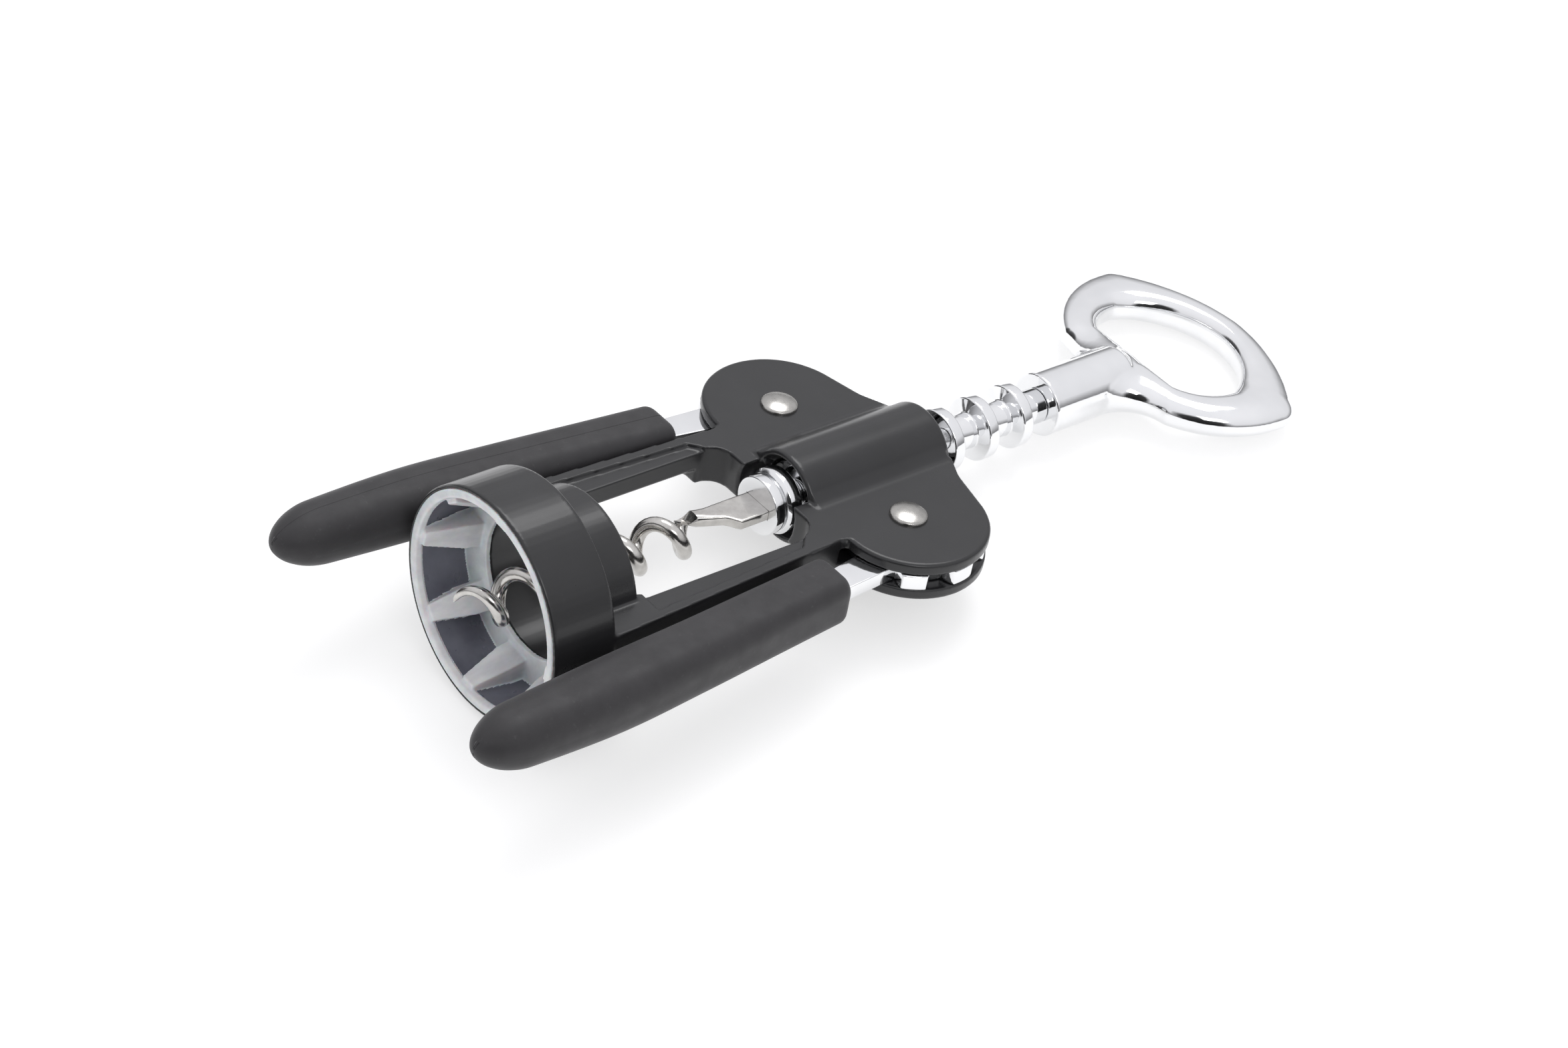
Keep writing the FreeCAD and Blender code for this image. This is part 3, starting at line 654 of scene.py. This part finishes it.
def superellipse(half_w, half_t, power, count=28):
    """Points round a section whose corners get squarer with the power."""
    loop = []
    for i in range(count):
        angle = 2 * math.pi * i / count
        c, s = math.cos(angle), math.sin(angle)
        loop.append((half_w * math.copysign(abs(c) ** (2 / power), c),
                     half_t * math.copysign(abs(s) ** (2 / power), s)))
    return loop


def make_worm():
    """Steel worm: the flat shank with its notch, the neck, the helix and its ground point."""
    turns = (WORM_TOP_Y - WORM_TIP_Y) / WORM_PITCH
    sections = []
    flat = superellipse(FLAT_HALF_W, FLAT_HALF_T, 10)
    for y in np.linspace(SOCKET_END_Y - 1.6, FLAT_END_Y, 6):
        sections.append([(x, y, z) for x, z in flat])
    for y, left_x, right_x, half_t, power in WORM_NECK:
        loop = superellipse((right_x - left_x) / 2, half_t, power)
        drop = WORM_NECK_DROP * ((FLAT_END_Y - y) / (FLAT_END_Y - WORM_TOP_Y)) ** 3
        sections.append([((left_x + right_x) / 2 + x, y, z - drop) for x, z in loop])
    total = int(turns * WORM_STEPS)
    first = round(WORM_NECK_TURNS * WORM_STEPS)
    swing = 2 * math.pi * WORM_RADIUS
    for i in range(first, total + 1):
        turn = turns * i / total
        angle = math.pi + 2 * math.pi * turn
        middle = np.array([WORM_RADIUS * math.cos(angle), WORM_TOP_Y - WORM_PITCH * turn,
                           WORM_RADIUS * math.sin(angle)])
        ahead = np.array([-swing * math.sin(angle), -WORM_PITCH, swing * math.cos(angle)])
        ahead /= np.linalg.norm(ahead)
        inward = -np.array([math.cos(angle), 0, math.sin(angle)])
        across = np.cross(inward, ahead)
        radius = WIRE_R * min(1.0, 0.08 + 0.92 * math.sqrt((turns - turn) / WORM_TAPER_TURNS))
        sections.append([tuple(middle + inward * u + across * v)
                         for u, v in superellipse(radius, radius, 2)])
    mesh = crisp(mesh_from("worm", [loft(sections)]), 40)
    piece("worm_wire", mesh, "spindle", WORM_STEEL, ["worm"])


def grip_at(y):
    """Middle x, half width and half thickness at y, smooth through the stations."""
    last = len(GRIP_STATIONS) - 1
    i = 0
    while i < last - 1 and y < GRIP_STATIONS[i + 1][1]:
        i += 1
    before, start = GRIP_STATIONS[max(i - 1, 0)], GRIP_STATIONS[i]
    end, after = GRIP_STATIONS[i + 1], GRIP_STATIONS[min(i + 2, last)]
    span = end[1] - start[1]
    t = (y - start[1]) / span
    result = []
    for k in (0, 2, 3):
        slope_in = (end[k] - before[k]) / (end[1] - before[1]) * span
        slope_out = (after[k] - start[k]) / (after[1] - start[1]) * span
        result.append((2 * t ** 3 - 3 * t ** 2 + 1) * start[k] + (t ** 3 - 2 * t ** 2 + t) * slope_in
                      + (3 * t ** 2 - 2 * t ** 3) * end[k] + (t ** 3 - t ** 2) * slope_out)
    return result


def grip_section(y):
    """Rounded section of the grip, with the mould's parting line along its underside."""
    top_y, tip_y = GRIP_STATIONS[0][1], GRIP_STATIONS[-1][1]
    middle_x, half_w, half_t = grip_at(y)
    into_edge = max(0.0, y - (top_y - GRIP_EDGE_R))
    inset = GRIP_EDGE_R - math.sqrt(max(0.0, GRIP_EDGE_R ** 2 - into_edge ** 2))
    into_tip = min(1.0, max(0.0, tip_y + GRIP_TIP_LENGTH - y) / GRIP_TIP_LENGTH)
    shrink = math.sqrt(1 - into_tip ** 2)
    half_w = (half_w - inset) * shrink
    half_t = (half_t - inset) * shrink
    corner = half_t * (0.98 - 0.42 * (y - tip_y) / (top_y - tip_y))
    inner_x, inner_z = half_w - corner, half_t - corner
    groove = min(PARTING_DEPTH, half_t * 0.2)
    quarter = [(half_w, 0.0), (half_w, inner_z * 0.5)]
    for k in range(9):
        angle = math.pi / 2 * k / 8
        quarter.append((inner_x + corner * math.cos(angle), inner_z + corner * math.sin(angle)))
    quarter += [(inner_x * 0.5 + 0.1, half_t), (0.2, half_t), (0.13, half_t)]
    loop = quarter + [(-x, z) for x, z in reversed(quarter[1:])]
    loop += [(-x, -z) for x, z in quarter] + [(-0.05, groove - half_t), (0.05, groove - half_t)]
    loop += [(x, -z) for x, z in reversed(quarter[1:])]
    return [(middle_x + x, y, z) for x, z in loop]


def make_grips():
    top_y, tip_y = GRIP_STATIONS[0][1], GRIP_STATIONS[-1][1]
    body_end = tip_y + GRIP_TIP_LENGTH
    stations = [top_y - GRIP_EDGE_R * (1 - math.cos(math.pi / 2 * k / 6)) for k in range(7)]
    stations += list(np.linspace(top_y - GRIP_EDGE_R, body_end, 60)[1:])
    stations += [body_end - GRIP_TIP_LENGTH * math.sin(math.pi / 2 * k / 18) for k in range(1, 18)]
    right = loft([grip_section(y) for y in stations])
    # both levers are the same part, turned over, so the left one has its parting line on top
    points, faces = right
    left = [(-x, y, -z) for x, y, z in points], faces
    for side, shell in (("right", right), ("left", left)):
        mesh = mesh_from("grip", [shell])
        piece("soft_grip_" + side, mesh, side + "_lever", GRIP, ["grip_" + side])


make_casting()
make_liner()
make_rivets()
make_rack()
make_opener()
make_socket()
make_worm()
make_levers()
make_grips()


# ---------------------------------------------------------------- stage, light and camera

def make_floor():
    """A pale, slightly backlit sheet, as under a tool photographed on a light table."""
    f = Finish("floor_sheet", Roughness=0.8, Emission_Color=(1, 1, 1, 1), Emission_Strength=0.6)
    f.put("Base Color", f.ramp(f.noise(6, 3), (0.3, (0.47, 0.47, 0.47)), (0.7, (0.49, 0.49, 0.49))))
    f.bump((f.noise(900, 3), 0.03, 0.0001))
    cells, half_side_m = 24, 1.5
    row = cells + 1
    side = [half_side_m * (2 * i / cells - 1) for i in range(row)]
    points = [(x, y, 0.0) for y in side for x in side]
    corners = [j * row + i for j in range(cells) for i in range(cells)]
    faces = [(c, c + 1, c + row + 1, c + row) for c in corners]
    mesh = bpy.data.meshes.new("floor")
    mesh.from_pydata(points, [], faces)
    mesh.materials.append(f.material)
    shown("floor", mesh)


def make_lamp(name, place, size, power):
    """A rectangular lamp at a place in metres, aimed at the object, with its power in watts."""
    data = bpy.data.lights.new(name, "AREA")
    data.shape = "RECTANGLE"
    data.size, data.size_y = size
    data.energy = power
    lamp = bpy.data.objects.new(name, data)
    lamp.location = place
    lamp.rotation_euler = (-Vector(place)).to_track_quat("-Z", "Y").to_euler()
    bpy.context.scene.collection.objects.link(lamp)


def make_world():
    """Bright studio, greyer near the horizon, with two dark gaps that give the chrome its dark
    lines. What the camera sees behind the object is plain white."""
    world = bpy.data.worlds.new("studio")
    world.use_nodes = True
    tree = world.node_tree
    background = tree.nodes["Background"]
    direction = tree.nodes.new("ShaderNodeTexCoord").outputs["Generated"]

    def facing(toward):
        node = tree.nodes.new("ShaderNodeVectorMath")
        node.operation = "DOT_PRODUCT"
        node.inputs[1].default_value = Vector(toward).normalized()
        tree.links.new(direction, node.inputs[0])
        return node.outputs["Value"]

    def greys(source, stops):
        node = tree.nodes.new("ShaderNodeValToRGB")
        elements = node.color_ramp.elements
        while len(elements) < len(stops):
            elements.new(0.5)
        for element, (place, grey) in zip(elements, stops):
            element.position = place
            element.color = (grey, grey, grey * 1.01, 1)
        tree.links.new(source, node.inputs["Fac"])
        return node.outputs["Color"]

    def mixed(kind, a, b, factor=None):
        node = tree.nodes.new("ShaderNodeMix")
        node.data_type = "RGBA"
        node.blend_type = kind
        node.inputs["Factor"].default_value = 1.0
        tree.links.new(a, node.inputs["A"])
        tree.links.new(b, node.inputs["B"])
        if factor:
            tree.links.new(factor, node.inputs["Factor"])
        return node.outputs["Result"]

    walls = greys(facing((0, 0, 1)), ((0.0, 0.22), (0.12, 0.4), (0.34, 0.85), (1.0, 1.0)))
    open_side = greys(facing((0.75, -0.62, 0.3)), ((0.0, 1.0), (0.86, 1.0), (0.93, 0.06), (1.0, 0.03)))
    back_gap = greys(facing((-0.85, -0.5, 0.12)), ((0.0, 1.0), (0.93, 1.0), (0.97, 0.15), (1.0, 0.1)))
    room = mixed("MULTIPLY", mixed("MULTIPLY", walls, open_side), back_gap)
    white = tree.nodes.new("ShaderNodeRGB").outputs["Color"]
    white.default_value = (1, 1, 1, 1)
    seen = tree.nodes.new("ShaderNodeLightPath").outputs["Is Camera Ray"]
    tree.links.new(mixed("MIX", room, white, seen), background.inputs["Color"])
    background.inputs["Strength"].default_value = 1.0
    bpy.context.scene.world = world


def make_camera():
    """The camera stands on the near right, above, and rolled a little."""
    azimuth, elevation, roll = (math.radians(a) for a in (45.089, 36.638, 10.529))
    aside, below, distance = 51.457, 13.988, 631.857   # millimetres from the tool's own origin
    right = np.array([math.cos(azimuth), math.sin(azimuth), 0])
    back = np.array([math.sin(azimuth) * math.cos(elevation), -math.cos(azimuth) * math.cos(elevation),
                     math.sin(elevation)])
    level_up = np.cross(back, right)
    across = right * math.cos(roll) + level_up * math.sin(roll)
    upward = -right * math.sin(roll) + level_up * math.cos(roll)
    data = bpy.data.cameras.new("camera")
    data.lens = 85.89
    data.sensor_width = 36.0
    data.clip_start = 0.01
    camera = bpy.data.objects.new("camera", data)
    place = to_row([aside * across + below * upward + distance * back])[0]
    turn = Matrix(AXES @ np.column_stack([across, upward, back])).to_4x4()
    camera.matrix_world = Matrix.Translation(place) @ turn
    bpy.context.scene.collection.objects.link(camera)
    bpy.context.scene.camera = camera


make_floor()
make_world()
make_lamp("key", (-0.35, 0.45, 1.2), (0.7, 0.7), 6)
make_lamp("fill", (0.9, -0.3, 0.9), (0.5, 0.4), 2)
make_camera()
bpy.context.scene.view_settings.view_transform = "Standard"
